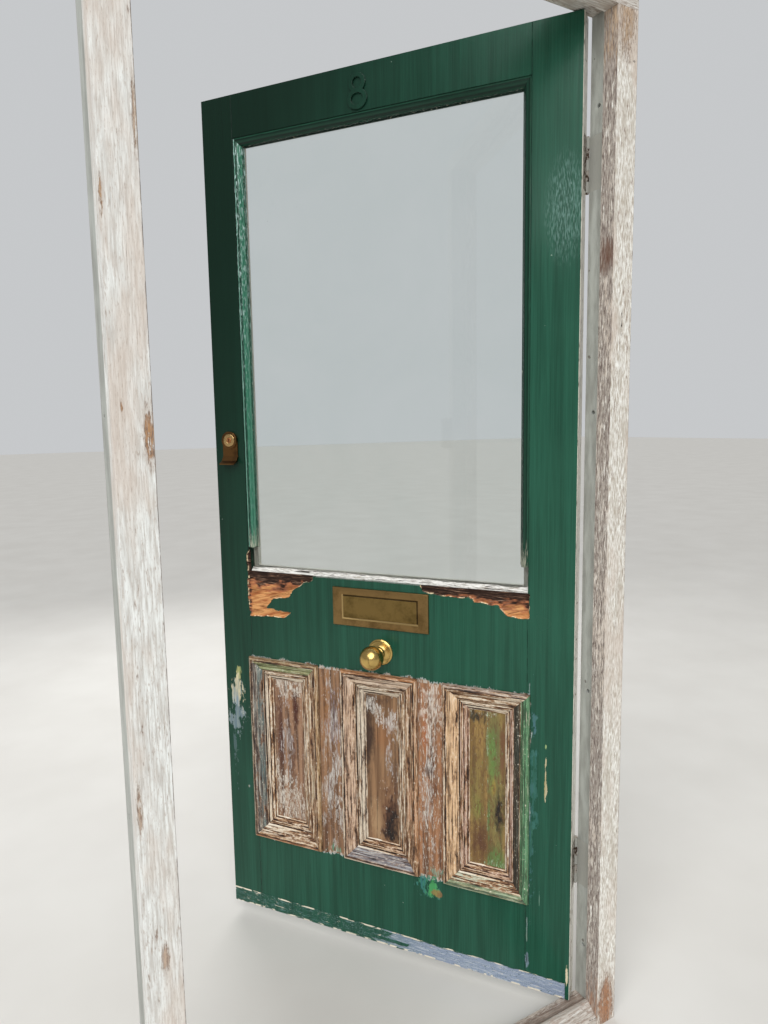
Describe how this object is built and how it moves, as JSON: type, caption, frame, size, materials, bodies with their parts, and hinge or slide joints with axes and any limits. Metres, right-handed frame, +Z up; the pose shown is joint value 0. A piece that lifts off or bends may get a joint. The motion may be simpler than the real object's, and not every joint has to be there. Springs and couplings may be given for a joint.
{
  "type": "panelled front door",
  "caption": "Half-glazed entrance door with raised-moulding lower panels, letter plate, knob and rim latch, hinged in a rebated timber frame and standing open.",
  "frame": {"origin": "on the underside of the sill, midway between the posts and midway through the frame's depth", "axes": "+X to the right seen from outside, towards the hinges; +Y inward through the doorway; +Z up"},
  "size_m": [0.95, 0.8057, 2.058],
  "materials": {
    "frame_paint": "worn white paint",
    "leaf_paint": "dark green gloss paint",
    "stripped_wood": "half-stripped weathered wood",
    "inner_paint": "plain white paint",
    "strip_paint": "flaking undercoat",
    "pane": "clear",
    "putty": "cracked putty",
    "brass": "aged",
    "numeral_paint": "dark green gloss paint",
    "steel": "dull",
    "latch_enamel": "bronze enamel"
  },
  "bodies": {
    "frame": {"post_hinge": "frame_paint", "post_latch": "frame_paint", "frame_head": "frame_paint", "sill": "frame_paint", "hinge_lower_post_flap": "steel", "hinge_lower_pin": "steel", "hinge_upper_post_flap": "steel", "hinge_upper_pin": "steel", "hinge_post_screws": "steel", "latch_keep": "latch_enamel", "latch_keep_screws": "steel"},
    "leaf": {"stile_hinge": "leaf_paint", "stile_latch": "leaf_paint", "top_rail": "leaf_paint", "lock_rail": "leaf_paint", "bottom_rail": "leaf_paint", "tenon_wedges": "stripped_wood", "muntin_left": "stripped_wood", "muntin_right": "stripped_wood", "panel_left": "stripped_wood", "panel_left_moulding": "stripped_wood", "panel_left_back_moulding": "inner_paint", "panel_centre": "stripped_wood", "panel_centre_moulding": "stripped_wood", "panel_centre_back_moulding": "inner_paint", "panel_right": "stripped_wood", "panel_right_moulding": "stripped_wood", "panel_right_back_moulding": "inner_paint", "weather_strip": "strip_paint", "glass": "pane", "glazing_moulding_latch": "leaf_paint", "glazing_moulding_top": "leaf_paint", "glazing_moulding_hinge": "leaf_paint", "glazing_beads": "inner_paint", "putty_bed": "putty", "hinge_lower_leaf_flap": "steel", "hinge_upper_leaf_flap": "steel", "hinge_leaf_screws": "steel", "letter_plate": "brass", "letter_flap_pin": "steel", "letter_flap_spring": "steel", "letter_plate_bolts": "steel", "knob_rose": "brass", "knob": "brass", "knob_bolt": "steel", "knob_washer": "steel", "knob_nut": "steel", "house_numeral": "numeral_paint", "cylinder_pull": "brass", "rim_cylinder": "brass", "latch_case": "latch_enamel", "latch_case_screws": "steel"},
    "letter_flap": {"letter_flap": "brass"},
    "key_plug": {"cylinder_plug": "brass"},
    "latch_bolt": {"latch_bolt": "brass", "latch_bolt_spring": "steel"},
    "turn": {"latch_turn": "latch_enamel"},
    "snib": {"latch_snib": "latch_enamel"}
  },
  "joints": [
    {"name": "leaf_swing", "type": "hinge", "parent": "frame", "child": "leaf", "pos_m": [0.4335, 0.0415, 1.0245], "axis": [0, 0, -1], "range_deg": [-54.5, 45.5]},
    {"name": "flap_lift", "type": "hinge", "parent": "leaf", "child": "letter_flap", "pos_m": [0.14928, 0.37125, 0.8776], "axis": [0.5807, -0.8141, 0], "range_deg": [0, 75], "stiffness_Nm_per_rad": 0.15, "springref_deg": -11.46},
    {"name": "turn_spin", "type": "hinge", "parent": "leaf", "child": "turn", "pos_m": [-0.01806, 0.73226, 1.238], "axis": [-0.8141, -0.5807, 0], "range_deg": [0, 60], "stiffness_Nm_per_rad": 0.031, "springref_deg": -40.11},
    {"name": "bolt_slide", "type": "slide", "parent": "leaf", "child": "latch_bolt", "axis": [0.5807, -0.8141, 0], "range_m": [0, 0.015]},
    {"name": "plug_turn", "type": "hinge", "parent": "leaf", "child": "key_plug", "pos_m": [-0.07791, 0.68701, 1.238], "axis": [0.8141, 0.5807, 0], "range_deg": [0, 90]},
    {"name": "snib_slide", "type": "slide", "parent": "leaf", "child": "snib", "axis": [-0.5807, 0.8141, 0], "range_m": [0, 0.008]}
  ],
  "couplings": [
    {"joint": "bolt_slide", "follows": "turn_spin", "m_per_rad": 0.014323}
  ]
}
